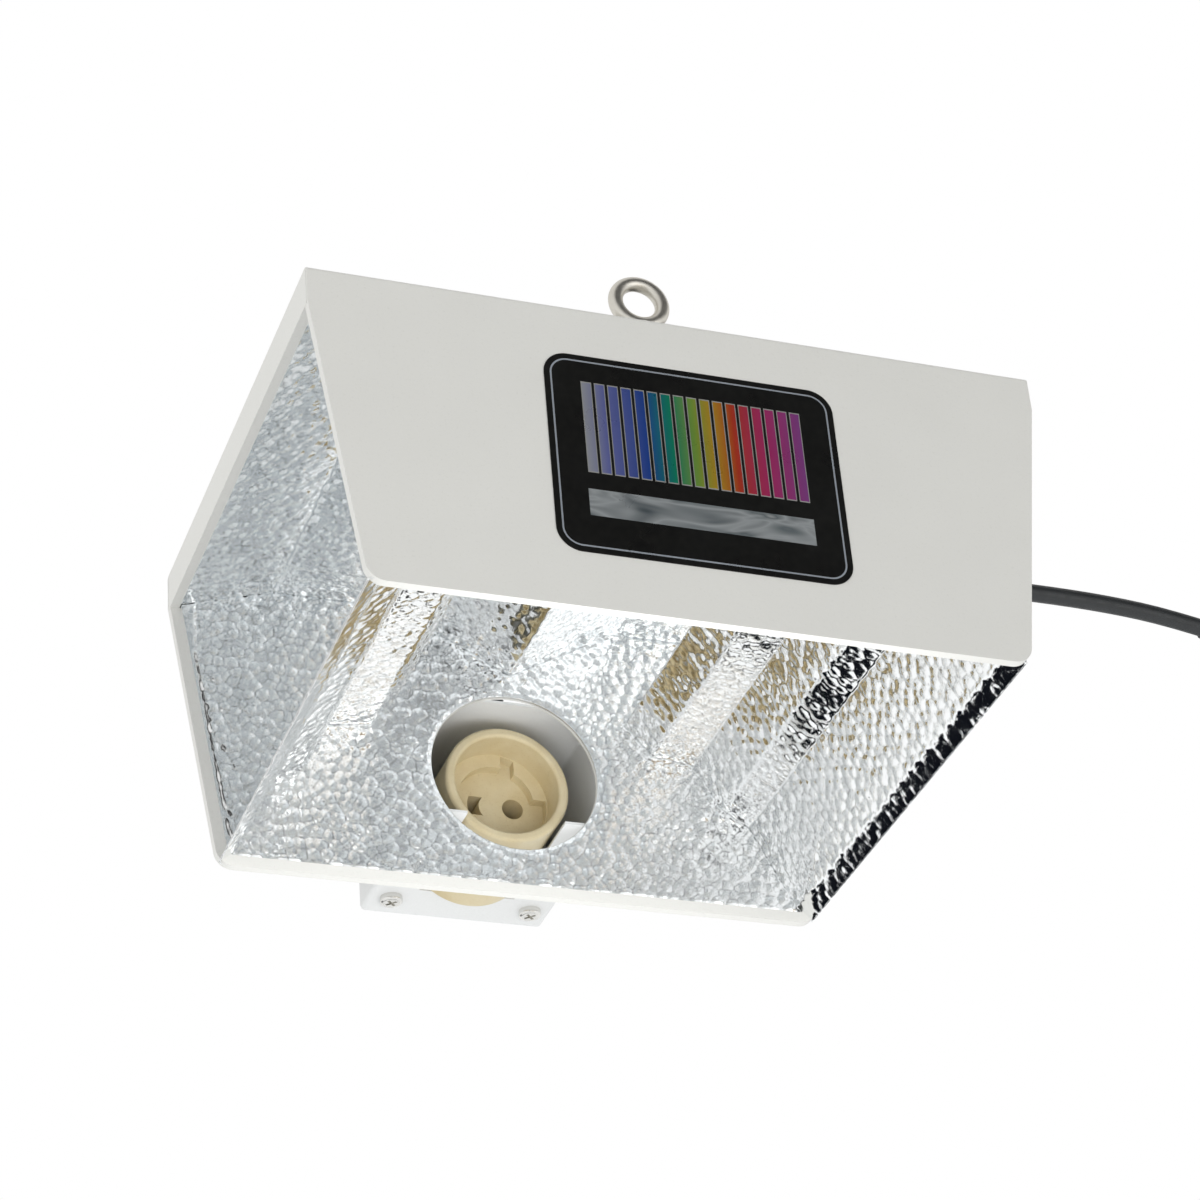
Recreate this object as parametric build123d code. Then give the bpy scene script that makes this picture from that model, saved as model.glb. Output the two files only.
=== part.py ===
from build123d import *
import math
import os

# Hanging grow-lamp reflector: a folded white steel hood lined with hammered
# aluminium, a ceramic two-pin lampholder in a box on its back, two eye bolts
# on top and a flexible supply lead with its slack tied in a coil on the hood.
#
# Frame: origin midway between the centres of the two eye-bolt rings.
# +X along the hood, +Y from the label side to the lampholder side, +Z up.
# All dimensions in millimetres.

# ------------------------------------------------------------ driving sizes
HOOD_L = 300.0            # length of the top plate, along X
HOOD_W = 220.0            # width over the front and back panels, along Y
HOOD_H = 138.0            # height from the top plate to the lower rim
SIDE_DROP = 16.0          # vertical part of the panel ends, and the end flanges
RIM_INSET = 19.0          # how far each panel end slants in by the lower rim
CORNER_R = 8.0            # lower corners of the front and back panels
SHEET = 1.0               # hood sheet thickness
BEND_R = 2.2              # outer bend radius, panel to top plate
HEM = 5.0                 # width of the folded hem around each panel
HEM_DEPTH = 3.8           # panel face to hem face
LINER = 0.5               # hammered aluminium liner thickness
LAMP_DROP = 78.0          # lamp axis below the top plate
LAMP_HOLE_R = 37.0        # hole in the back panel and back liner

EYE_Y = 73.0              # eye bolts stand at +/- this Y
EYE_RISE = 37.0           # ring centre above the top plate
EYE_RING_R = 10.0         # ring, to the middle of its wire
EYE_WIRE_R = 3.0
SHANK_R = 3.0
SHANK_HOLE_R = 3.05       # running clearance in the top plate

# stepped wing profile: distance in from the end of the hood, depth below the top plate
WING = [(19.6, 136.6), (25.5, 131.3), (44.3, 93.3), (55.9, 86.1),
        (67.6, 65.1), (86.6, 62.8), (98.1, 48.2)]
WING_T = 0.6
# ceiling profile: from the end flange up to the top plate, flat, then down to the ridge
CEILING = [(1.5, 15.2), (45.0, 2.4), (100.0, 2.4), (150.0, 30.0)]

BOX_W = 84.0              # lampholder box, outside
BOX_T = 1.2
BOX_LOW = 21.5            # underside below the lamp axis
BOX_HIGH = 36.0           # top above the lamp axis
BOX_LEN = 91.0            # depth behind the back panel

CUP_R = 27.8              # ceramic cup, outside
CUP_BORE_R = 23.4         # bore that takes the lamp base
CUP_FRONT = 8.0           # rim behind the back panel's outer face
CUP_LEN = 60.0
CUP_DEPTH = 21.0          # depth to the cup floor
SEAT_DEPTH = 16.0         # depth to the ledge that the lamp base seats on
PIN_SPACING = 18.0        # between the lamp's two contact holes
PIN_HOLE_R = 4.8
BRACKET_SCREW_X = 32.0    # the two screws under the box
BRACKET_SCREW_Y = 78.5    # behind the back panel's outer face

LEAD_R = 4.0              # 8 mm flexible lead
GLAND_X = 20.0
GLAND_Y = 187.0
COIL_X, COIL_Y = 75.0, -10.0
COIL_MID_R = 44.0         # middle of the turns
TURN_PITCH = 8.2
LAYER_RISE = 7.1
TIE_T = 1.2               # tie strap thickness under the coil

# ------------------------------------------------------------ derived
TOP = -EYE_RISE                       # outer face of the top plate
HX = HOOD_L / 2
HY = HOOD_W / 2
AXIS_Z = TOP - LAMP_DROP
LOW = TOP - HOOD_H


def h(v):
    """Height v above the top plate's outer face."""
    return TOP + v


parts = {}


def add(name, shape):
    parts[name] = shape


def slab(x0, x1, y0, y1, z0, z1):
    """A plain rectangular solid between two corners."""
    return Pos((x0 + x1) / 2, (y0 + y1) / 2, (z0 + z1) / 2) * Box(x1 - x0, y1 - y0, z1 - z0)


def rod(p, d, r, length):
    """A cylinder that starts at p and runs along d."""
    return extrude(Plane(origin=p, z_dir=d) * Circle(r), amount=length)


def tube_ring(p, d, r_out, r_in, length):
    return extrude(Plane(origin=p, z_dir=d) * (Circle(r_out) - Circle(r_in)), amount=length)


def xz_plate(face_points, y0, y1, corner_r=0.0, corner_ids=()):
    """A plate in the XZ plane from a closed outline, between y0 and y1."""
    f = make_face(Polyline(*[(p[0], p[1]) for p in face_points], close=True))
    if corner_r:
        vs = [v for v in f.vertices() if any(abs(v.X - face_points[i][0]) < 1e-4 and abs(v.Y - face_points[i][1]) < 1e-4 for i in corner_ids)]
        f = fillet(vs, corner_r)
    # Plane.XZ looks along -Y: local x = X, local y = Z, extrusion towards -Y
    return extrude(Plane(origin=(0, y1, 0), x_dir=(1, 0, 0), z_dir=(0, -1, 0)) * f, amount=y1 - y0)


def panel_outline(inset):
    """The outline of a front or back panel, drawn in by an inset."""
    k = RIM_INSET / (HOOD_H - SIDE_DROP)
    slope = math.sqrt(1 + k * k)
    bx = HX - RIM_INSET - inset * slope + inset * k
    kx = HX - inset
    # where the offset slanted edge meets the offset vertical edge
    kz = TOP - SIDE_DROP - inset * (slope - 1) / k
    return [(-kx, TOP), (kx, TOP), (kx, kz), (bx, LOW + inset), (-bx, LOW + inset), (-kx, kz)]


def strip(profile, t, y0, y1):
    """A folded sheet of thickness t that follows a profile in XZ, between y0 and y1."""
    n = len(profile)
    left = []
    for i, (x, z) in enumerate(profile):
        dirs = []
        if i > 0:
            dx, dz = x - profile[i - 1][0], z - profile[i - 1][1]
            m = math.hypot(dx, dz)
            dirs.append((dx / m, dz / m))
        if i < n - 1:
            dx, dz = profile[i + 1][0] - x, profile[i + 1][1] - z
            m = math.hypot(dx, dz)
            dirs.append((dx / m, dz / m))
        nx = sum(-d[1] for d in dirs)
        nz = sum(d[0] for d in dirs)
        m = math.hypot(nx, nz)
        nx, nz = nx / m, nz / m
        c = nx * -dirs[0][1] + nz * dirs[0][0]
        left.append((x + nx * t / c, z + nz * t / c))
    return xz_plate(list(profile) + left[::-1], y0, y1)


# ------------------------------------------------------------ hood shell
def panel(side):
    """Front (side -1) or back (side +1) panel with its folded hem."""
    face = side * HY
    o = panel_outline(0.0)
    y0, y1 = sorted((face, face - side * SHEET))
    plate = xz_plate(o, y0, y1, CORNER_R, (3, 4))
    ya, yb = sorted((face, face - side * HEM_DEPTH))
    rim = xz_plate(o, ya, yb, CORNER_R, (3, 4)) - xz_plate(panel_outline(SHEET), ya - 1, yb + 1, CORNER_R - SHEET, (3, 4))
    yc, yd = sorted((face - side * (HEM_DEPTH - SHEET), face - side * HEM_DEPTH))
    lip = xz_plate(o, yc, yd, CORNER_R, (3, 4)) - xz_plate(panel_outline(HEM), yc - 1, yd + 1, CORNER_R - HEM, (3, 4))
    keep = slab(-HX - 5, HX + 5, -HY - 5, HY + 5, LOW - 5, TOP - SIDE_DROP - 1.0)
    return plate + (rim + lip) & (plate + keep)


front_panel = panel(-1)
back_panel = panel(1)
top_plate = slab(-HX, HX, -HY, HY, TOP - SHEET, TOP)
hood = top_plate + front_panel + back_panel
hood = fillet(hood.edges().filter_by(Axis.X).filter_by(lambda e: abs(e.center().Z - TOP) < 1e-3 and abs(abs(e.center().Y) - HY) < 1e-3), BEND_R)
flange_y = HY - SHEET - 0.4
for s in (-1, 1):
    x0, x1 = sorted((s * HX, s * (HX - SHEET)))
    hood += slab(x0, x1, -flange_y, flange_y, TOP - SIDE_DROP, TOP - 0.5)
    # inward lip at the foot of the end flange, which carries the ceiling liner
    x0, x1 = sorted((s * HX, s * (HX - 4.0)))
    hood += slab(x0, x1, -flange_y, flange_y, TOP - SIDE_DROP - 1.0, TOP - SIDE_DROP)
for y in (-EYE_Y, EYE_Y):
    hood -= rod((0, y, TOP - 5), (0, 0, 1), SHANK_HOLE_R, 10)
hood -= rod((0, HY - 6, AXIS_Z), (0, 1, 0), LAMP_HOLE_R, 12)
STUD_X, STUD_Z = 49.0, 20.0
for x in (-STUD_X, STUD_X):
    for z in (-STUD_Z, STUD_Z):
        hood -= rod((x, HY - 1.5, AXIS_Z + z + 7), (0, 1, 0), 2.0, 3)
add("housing_shell", hood)

# ------------------------------------------------------------ hammered liners
LINER_Y = HY - SHEET - 0.6            # outer face of the front and back liners
liner_o = panel_outline(1.3)
liner_o = [(-(HX - 2.0), TOP - 2.9)] + [(HX - 2.0, TOP - 2.9)] + [(HX - 2.0, liner_o[2][1])] + liner_o[3:5] + [(-(HX - 2.0), liner_o[5][1])]
# the wings are held by tabs through these slots
tab_a, tab_b = WING[1], WING[2]


def wing_point(k, side):
    """A point along the wing's main facet, k from 0 to 1, in XZ."""
    d = tab_a[0] + (tab_b[0] - tab_a[0]) * k
    z = -(tab_a[1] + (tab_b[1] - tab_a[1]) * k)
    return (side * (HX - d), TOP + z)


def wing_tab(side, grow, y0, y1, k0=0.30, k1=0.62):
    """A tab in the plane of the wing's main facet."""
    p, q = wing_point(k0, side), wing_point(k1, side)
    if side < 0:
        p, q = p, q
    dx, dz = q[0] - p[0], q[1] - p[1]
    m = math.hypot(dx, dz)
    ux, uz = dx / m, dz / m
    nx, nz = (-uz, ux) if side < 0 else (uz, -ux)
    a = (p[0] - ux * grow - nx * grow, p[1] - uz * grow - nz * grow)
    b = (q[0] + ux * grow - nx * grow, q[1] + uz * grow - nz * grow)
    t = WING_T + 2 * grow
    return xz_plate([a, b, (b[0] + nx * t, b[1] + nz * t), (a[0] + nx * t, a[1] + nz * t)], y0, y1)


for side, name in ((-1, "front_liner"), (1, "back_liner")):
    y0, y1 = sorted((side * LINER_Y, side * (LINER_Y - LINER)))
    liner = xz_plate(liner_o, y0, y1, CORNER_R - 1.3, (3, 4))
    for s in (-1, 1):
        liner -= wing_tab(s, 0.25, y0 - 1, y1 + 1)
    # notches over the feet of the end flanges
    for s in (-1, 1):
        xa, xb = sorted((s * (HX - 4.4), s * (HX + 1)))
        liner -= slab(xa, xb, y0 - 1, y1 + 1, TOP - SIDE_DROP - 1.4, TOP)
    if side > 0:
        liner -= rod((0, y0 - 2, AXIS_Z), (0, 1, 0), LAMP_HOLE_R, 6)
    add(name, liner)

INNER_Y = LINER_Y - LINER - 0.3       # wings and ceiling end here
ceiling_pts = [(-(HX - d), TOP - z) for d, z in CEILING] + [((HX - d), TOP - z) for d, z in CEILING[-2::-1]]
ceiling = strip(ceiling_pts, LINER, -INNER_Y, INNER_Y)
add("ceiling_liner", ceiling)

for s, name in ((-1, "left_wing_reflector"), (1, "right_wing_reflector")):
    pts = [(s * (HX - d), TOP - z) for d, z in WING]
    # a narrow lip folded out along the lower rim
    lip = (s * (HX - WING[0][0] - 1.2), TOP - WING[0][1] - 4.0 + 2.9)
    if s > 0:
        pts = pts[::-1]
    wing = strip(pts, WING_T, -INNER_Y, INNER_Y)
    for side in (-1, 1):
        y0, y1 = sorted((side * (INNER_Y - 0.5), side * (HY - SHEET - 0.1)))
        wing += wing_tab(s, 0.0, y0, y1)
    # the ends of the lower facets are notched round the panel hems
    add(name, wing)
for s, name in ((-1, "left_wing_reflector"), (1, "right_wing_reflector")):
    w = parts[name]
    for side in (-1, 1):
        # clear of the folded hem at each end
        y0, y1 = sorted((side * (HY - HEM_DEPTH - 0.3), side * HY))
        cut = xz_plate(panel_outline(-1.0), y0, y1) - xz_plate(panel_outline(HEM + 0.4), y0 - 1, y1 + 1, 4.5, (3, 4))
        cut &= slab(-HX - 5, HX + 5, -HY - 5, HY + 5, LOW - 5, TOP - SIDE_DROP)
        w = w - cut
    parts[name] = w

# ------------------------------------------------------------ label plate
LABEL_X0, LABEL_X1 = -58.0, 61.0
LABEL_Z0, LABEL_Z1 = h(-114.0), h(-23.5)
label = extrude(Plane(origin=((LABEL_X0 + LABEL_X1) / 2, -HY, (LABEL_Z0 + LABEL_Z1) / 2), x_dir=(1, 0, 0), z_dir=(0, -1, 0))
                * RectangleRounded(LABEL_X1 - LABEL_X0, LABEL_Z1 - LABEL_Z0, 10.0), amount=0.35)
add("label_plate", label)


# ------------------------------------------------------------ eye bolts
def nut(x, y, z, across, thick, bore, axis=(0, 0, 1)):
    return extrude(Plane(origin=(x, y, z), z_dir=axis) * (RegularPolygon(across / 2, 6, major_radius=False) - Circle(bore)), amount=thick)


for y, tag in ((-EYE_Y, "front"), (EYE_Y, "rear")):
    ring = Pos(0, y, 0) * Rot(90, 0, 0) * Torus(EYE_RING_R, EYE_WIRE_R)
    shank = rod((0, y, TOP - 17.0), (0, 0, 1), SHANK_R, 17.0 + EYE_RISE - EYE_RING_R)
    collar = Pos(0, y, -EYE_RING_R - EYE_WIRE_R + 0.2) * Cone(3.4, 4.6, 3.0)
    add("eye_bolt_" + tag, ring + shank + collar)
    top_nut = nut(0, y, TOP + 1.5, 10.0, 5.0, SHANK_R)
    low_nut = nut(0, y, TOP - SHEET - 1.5 - 5.0, 10.0, 5.0, SHANK_R)
    add("eye_nuts_" + tag, Compound(children=[top_nut, low_nut]))
washers = []
for y in (-EYE_Y, EYE_Y):
    washers.append(tube_ring((0, y, TOP + 0.05), (0, 0, 1), 8.0, 3.3, 1.35))
    washers.append(tube_ring((0, y, TOP - SHEET - 0.05), (0, 0, -1), 8.0, 3.3, 1.35))
add("eye_washers", Compound(children=washers))

# ------------------------------------------------------------ lampholder box
BX = BOX_W / 2
BZ0, BZ1 = AXIS_Z - BOX_LOW, AXIS_Z + BOX_HIGH
BY0, BY1 = HY, HY + BOX_LEN
box = slab(-BX, BX, BY0, BY1, BZ0, BZ1)
box = fillet(box.edges().filter_by(Axis.Y), 2.4)
inner = slab(-BX + BOX_T, BX - BOX_T, BY0 - 1, BY1 + 1, BZ0 + BOX_T, BZ1 - BOX_T)
inner = fillet(inner.edges().filter_by(Axis.Y), 1.2)
box -= inner
for s in (-1, 1):
    xa, xb = sorted((s * (BX - 0.6), s * (BX + 14)))
    tab = slab(xa, xb, BY0, BY0 + BOX_T, AXIS_Z - 21.0 + 6, AXIS_Z + 35.0)
    tab = fillet(tab.edges().filter_by(Axis.Y).filter_by(lambda e: abs(e.center().X) > BX + 5), 4.0)
    box += tab
for x in (-STUD_X, STUD_X):
    for z in (-STUD_Z, STUD_Z):
        box -= rod((x, BY0 - 1, AXIS_Z + z + 7), (0, 1, 0), 2.2, 5)
# opening in the floor where the cup stands through
box -= slab(-21.8, 21.8, BY0 - 1.0, BY0 + CUP_FRONT + CUP_LEN + 1.5, BZ0 - 2, BZ0 + BOX_T + 2)
for x in (-BRACKET_SCREW_X, BRACKET_SCREW_X):
    box -= rod((x, BY0 + BRACKET_SCREW_Y, BZ0 - 1), (0, 0, 1), 2.7, 4)
box -= rod((GLAND_X, GLAND_Y, BZ1 - 4), (0, 0, 1), 8.1, 8)
COVER_SCREW_Z = (-8.0, 22.0)
for s in (-1, 1):
    for z in COVER_SCREW_Z:
        box -= rod((s * (BX + 2), BY1 - 5.0, AXIS_Z + z), (-s, 0, 0), 1.7, 6)
EARTH_Y, EARTH_Z = BY0 + 82.0, AXIS_Z + 7.0
box -= rod((-BX - 2, EARTH_Y - 2.0, EARTH_Z), (1, 0, 0), 2.1, 6)
add("holder_box", box)

# flush studs pressed into the back panel, and the nuts that hold the box on them
studs, stud_nuts = [], []
for x in (-STUD_X, STUD_X):
    for z in (-STUD_Z, STUD_Z):
        zz = AXIS_Z + z + 7
        studs.append(rod((x, HY - SHEET, zz), (0, 1, 0), 2.0, 10.0))
        stud_nuts.append(nut(x, HY + BOX_T, zz, 7.0, 3.2, 2.0, (0, 1, 0)))
add("box_studs", Compound(children=studs))
add("box_nuts", Compound(children=stud_nuts))

# rear cover: a plate with two side flanges inside the box
cover = slab(-BX, BX, BY1, BY1 + BOX_T, BZ0, BZ1)
cover = fillet(cover.edges().filter_by(Axis.Y), 2.4)
for s in (-1, 1):
    xa, xb = sorted((s * (BX - BOX_T - 0.15), s * (BX - BOX_T - 1.35)))
    cover += slab(xa, xb, BY1 - 9.0, BY1 + 0.5, AXIS_Z - 15.0, AXIS_Z + 30.0)
for s in (-1, 1):
    for z in COVER_SCREW_Z:
        cover -= rod((s * (BX + 2), BY1 - 5.0, AXIS_Z + z), (-s, 0, 0), 1.5, 8)
    xa, xb = sorted((s * (BX + 1), s * (BX - 5)))
# the left flange is cut away over the earth screw
cover -= slab(-BX - 1 + 2.0, -BX + 6, BY1 - 20, BY1 - 0.01, EARTH_Z - 6.0, EARTH_Z + 6.0)
add("rear_cover", cover)
screws = []
for s in (-1, 1):
    for z in COVER_SCREW_Z:
        head = rod((s * (BX + 0.0), BY1 - 5.0, AXIS_Z + z), (s, 0, 0), 2.9, 2.0)
        head = fillet(head.edges().filter_by(GeomType.CIRCLE).sort_by(lambda e: s * e.center().X)[-1:], 0.8)
        head -= rod((s * (BX + 2.1), BY1 - 5.0, AXIS_Z + z), (-s, 0, 0), 1.2, 1.1)
        screws.append(head + rod((s * (BX + 0.5), BY1 - 5.0, AXIS_Z + z), (-s, 0, 0), 1.5, 6.5))
add("cover_screws", Compound(children=screws))

# ------------------------------------------------------------ lampholder
CY0 = HY + CUP_FRONT
CY1 = CY0 + CUP_LEN
cup = rod((0, CY0, AXIS_Z), (0, 1, 0), CUP_R, CUP_LEN)
# the guiding bore ends level with the ledge, where the lamp base seats; below it the cup is a little narrower
cup -= rod((0, CY0 - 1, AXIS_Z), (0, 1, 0), CUP_BORE_R, SEAT_DEPTH + 1)
cup -= rod((0, CY0 - 1, AXIS_Z), (0, 1, 0), CUP_BORE_R - 0.5, CUP_DEPTH + 1)
rim_edges = cup.edges().filter_by(GeomType.CIRCLE).filter_by(lambda e: abs(e.center().Y - CY0) < 1e-3)
cup = fillet(rim_edges, 1.6)
floor_y = CY0 + CUP_DEPTH
# raised arc ledge on the cup floor, with a notch
ledge = tube_ring((0, floor_y + 0.2, AXIS_Z), (0, -1, 0), CUP_BORE_R + 0.5, 17.2, 5.2)
ledge -= slab(-40, 40, floor_y - 12, floor_y + 2, AXIS_Z - 40, AXIS_Z + 3.0)
ledge -= slab(3.0, 9.0, floor_y - 12, floor_y + 0.01, AXIS_Z, AXIS_Z + 40)
cup += ledge
# right contact hole, round, with a small lead-in
PX = PIN_SPACING / 2
cup -= rod((PX, floor_y - 6, AXIS_Z), (0, 1, 0), PIN_HOLE_R, 30)
# left contact hole, a curved slot
kidney = tube_ring((0, floor_y - 6, AXIS_Z), (0, 1, 0), PX + 2.6, PX - 2.6, 30)
kidney &= slab(-40, 0.0, floor_y - 7, floor_y + 25, AXIS_Z - 4.5, AXIS_Z + 4.5)
cup -= kidney
BASE_Y0 = CY0 + 40.0          # the floor is thick, and the contact holes run through it
cup -= rod((0, BASE_Y0, AXIS_Z), (0, 1, 0), 22.6, CY1 - BASE_Y0 + 1)
add("ceramic_cup", cup)

base = rod((0, BASE_Y0 + 0.2, AXIS_Z), (0, 1, 0), 22.2, CY1 - BASE_Y0 - 0.3)
for x in (-PX, PX):
    base -= slab(x - 4.4, x + 4.4, BASE_Y0 - 1, CY1 - 3.0, AXIS_Z - 5.5, AXIS_Z + 5.5)
    base -= slab(x - 2.6, x + 2.6, CY1 - 4.0, CY1 + 1, AXIS_Z - 4.0, AXIS_Z + 4.0)
HOLDER_SCREW_Z = 15.0
for z in (-HOLDER_SCREW_Z, HOLDER_SCREW_Z):
    base -= rod((0, CY1 - 9.0, AXIS_Z + z), (0, 1, 0), 2.0, 12)
add("ceramic_base", base)

# sprung contact clips behind the two holes
for s, name in ((-1, "contact_left"), (1, "contact_right")):
    x = s * PX
    y0, y1 = BASE_Y0 + 1.0, CY1 - 3.6
    clip = slab(x - 3.6, x - 2.9, y0, y1, AXIS_Z - 3.2, AXIS_Z + 3.2)
    clip += slab(x + 2.9, x + 3.6, y0, y1, AXIS_Z - 3.2, AXIS_Z + 3.2)
    clip += slab(x - 3.6, x + 3.6, y1 - 0.8, y1, AXIS_Z - 3.2, AXIS_Z + 3.2)
    clip += slab(x - 2.2, x + 2.2, y1 - 0.4, CY1 + 0.2, AXIS_Z - 3.2, AXIS_Z + 3.2)
    clip -= rod((x, y1 - 3, AXIS_Z), (0, 1, 0), 1.5, 20)
    add(name, clip)
add("terminal_screws", Compound(children=[
    rod((x, CY1 + 0.25, AXIS_Z), (0, 1, 0), 2.1, 1.6) + rod((x, CY1 + 0.5, AXIS_Z), (0, -1, 0), 1.5, 4.6)
    for x in (-PX, PX)]))

# L bracket: upright behind the ceramic, foot on the floor of the box
BR_T = 1.5
BR_Y0 = CY1 + 0.0
foot_z = BZ0 + BOX_T
bracket = slab(-38.0, 38.0, BR_Y0, BR_Y0 + BR_T, foot_z, AXIS_Z + 24.0)
bracket = fillet(bracket.edges().filter_by(Axis.Y).filter_by(lambda e: e.center().Z > AXIS_Z), 6.0)
bracket += slab(-38.0, 38.0, BR_Y0, BR_Y0 + 20.0, foot_z, foot_z + BR_T)
bracket -= slab(-14.5, 14.5, BR_Y0 - 1, BR_Y0 + 3, AXIS_Z - 9.0, AXIS_Z + 9.0)
for z in (-HOLDER_SCREW_Z, HOLDER_SCREW_Z):
    bracket -= rod((0, BR_Y0 - 1, AXIS_Z + z), (0, 1, 0), 2.2, 4)
for x in (-BRACKET_SCREW_X, BRACKET_SCREW_X):
    bracket -= rod((x, BY0 + BRACKET_SCREW_Y, foot_z - 1), (0, 0, 1), 2.7, 4)
add("holder_bracket", bracket)

add("holder_screws", Compound(children=[
    rod((0, BR_Y0 + BR_T, AXIS_Z + z), (0, 1, 0), 3.8, 2.6) + rod((0, BR_Y0 + BR_T + 0.5, AXIS_Z + z), (0, -1, 0), 1.95, 9.0)
    for z in (-HOLDER_SCREW_Z, HOLDER_SCREW_Z)]))

bscrews, bnuts = [], []
for x in (-BRACKET_SCREW_X, BRACKET_SCREW_X):
    y = BY0 + BRACKET_SCREW_Y
    head = rod((x, y, BZ0), (0, 0, -1), 5.0, 3.0)
    head = fillet(head.edges().filter_by(GeomType.CIRCLE).sort_by(Axis.Z)[:1], 1.2)
    head -= extrude(Plane(origin=(x, y, BZ0 - 3.1), z_dir=(0, 0, 1)) * Rot(0, 0, 45) * Rectangle(5.4, 1.3), amount=1.7)
    head -= extrude(Plane(origin=(x, y, BZ0 - 3.1), z_dir=(0, 0, 1)) * Rot(0, 0, 45) * Rectangle(1.3, 5.4), amount=1.7)
    bscrews.append(head + rod((x, y, BZ0 - 0.5), (0, 0, 1), 2.5, 10.0))
    bnuts.append(nut(x, y, foot_z + BR_T, 8.0, 4.0, 2.5))
add("bracket_screws", Compound(children=bscrews))
add("bracket_nuts", Compound(children=bnuts))

# earth screw, nut and cable lug on the left wall of the box
ex = -BX
escrew = rod((ex, EARTH_Y - 2.0, EARTH_Z), (-1, 0, 0), 3.6, 2.4)
escrew = fillet(escrew.edges().filter_by(GeomType.CIRCLE).sort_by(Axis.X)[:1], 0.9)
escrew += rod((ex - 0.5, EARTH_Y - 2.0, EARTH_Z), (1, 0, 0), 2.0, 10.0)
add("earth_screw", escrew)
lug_x = ex + BOX_T
lug = tube_ring((lug_x, EARTH_Y - 2.0, EARTH_Z), (1, 0, 0), 4.0, 2.1, 0.8)
lug += slab(lug_x, lug_x + 0.8, EARTH_Y - 4.0, EARTH_Y, EARTH_Z + 3.5, EARTH_Z + 12.0)
lug += rod((lug_x + 1.6, EARTH_Y - 2.0, EARTH_Z + 7.0), (0, 0, 1), 1.7, 6.0) & slab(lug_x, lug_x + 5, EARTH_Y - 6, EARTH_Y + 4, EARTH_Z, EARTH_Z + 30)
add("earth_lug", lug)
add("earth_nut", nut(lug_x + 0.85, EARTH_Y - 2.0, EARTH_Z, 7.0, 3.2, 2.0, (1, 0, 0)))

# ------------------------------------------------------------ cable gland and lead
gz = BZ1
gland = nut(GLAND_X, GLAND_Y, gz, 20.0, 5.0, 4.4)
gland += tube_ring((GLAND_X, GLAND_Y, gz - 8.5), (0, 0, 1), 7.9, 4.4, 9.0)
gland += tube_ring((GLAND_X, GLAND_Y, gz + 4.5), (0, 0, 1), 8.0, 6.3, 7.5)
add("gland_body", gland)
add("gland_locknut", nut(GLAND_X, GLAND_Y, gz - BOX_T - 4.0, 19.0, 4.0, 7.95))
add("gland_seal", tube_ring((GLAND_X, GLAND_Y, gz + 5.2), (0, 0, 1), 6.2, LEAD_R + 0.02, 9.0))
dome = nut(GLAND_X, GLAND_Y, gz + 5.1, 20.0, 9.0, 8.05)
dome += Pos(GLAND_X, GLAND_Y, gz + 14.0 + 3.0) * (Cone(9.6, 6.6, 6.0) - Cylinder(4.3, 10))
dome -= rod((GLAND_X, GLAND_Y, gz + 3), (0, 0, 1), 6.3, 11.4)
add("gland_dome_nut", dome)
# tapered bend protector above the gland
SR0, SR1 = gz + 20.05, gz + 44.0
relief = Pos(GLAND_X, GLAND_Y, (SR0 + SR1) / 2) * Cone(6.3, 4.9, SR1 - SR0)
relief -= rod((GLAND_X, GLAND_Y, SR0 - 1), (0, 0, 1), LEAD_R + 0.1, 60)
for k in range(5):
    relief -= Pos(GLAND_X, GLAND_Y, SR0 + 3.6 + 4.0 * k) * (Cylinder(9, 1.4) - Cylinder(4.9 - 0.08 * k, 3))
add("strain_relief", relief)

# Lead: up from the gland, over the back of the hood and down on to the coil.
# It leaves the coil along its lowest turn and runs out past the right-hand end.
UX, UY = 0.506, -0.8625               # plan direction from the gland to the coil


def rise_pt(s, up):
    return (GLAND_X + UX * s, GLAND_Y + UY * s, h(up))


LEAD_RISE = [rise_pt(0, -20), rise_pt(0, 20), rise_pt(29, 47), rise_pt(74, 52),
             rise_pt(118, 42), rise_pt(158, 31), rise_pt(186, 27.2)]
COIL_LOW = TIE_T + LEAD_R             # centre of the lowest layer above the plate
TAIL_Y = COIL_Y + COIL_MID_R + 1.5 * TURN_PITCH
LEAD_TAIL = [(90.0, TAIL_Y, h(COIL_LOW)), (148.0, TAIL_Y + 0.4, h(COIL_LOW + 0.2)),
             (212.0, TAIL_Y - 0.2, h(7.0)), (262.0, TAIL_Y - 0.8, h(6.4)),
             (300.0, TAIL_Y - 1.4, h(2.2)), (331.0, TAIL_Y - 1.8, h(-5.2))]


def corner_radii(points, label):
    """Arc radius at each inner point: 0.45 of the shorter run over the tangent of half the turn."""
    radii = []
    for a, b, c in zip(points, points[1:], points[2:]):
        u = Vector(*b) - Vector(*a)
        v = Vector(*c) - Vector(*b)
        half = math.radians(u.get_angle(v)) / 2
        radii.append(0.45 * min(u.length, v.length) / math.tan(half))
    print(label, "radii", [round(r, 1) for r in radii], "runs", [round((Vector(*b) - Vector(*a)).length, 1) for a, b in zip(points, points[1:])])
    return radii


def tube(points, r, label):
    wire = FilletPolyline(*points, radius=corner_radii(points, label))
    d = Vector(*points[1]) - Vector(*points[0])
    solid = sweep(Plane(origin=points[0], z_dir=d) * Circle(r), path=wire)
    print(label, "length", round(wire.length, 1), "volume", round(solid.volume, 1), "section x length", round(math.pi * r * r * wire.length, 1))
    return solid


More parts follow.
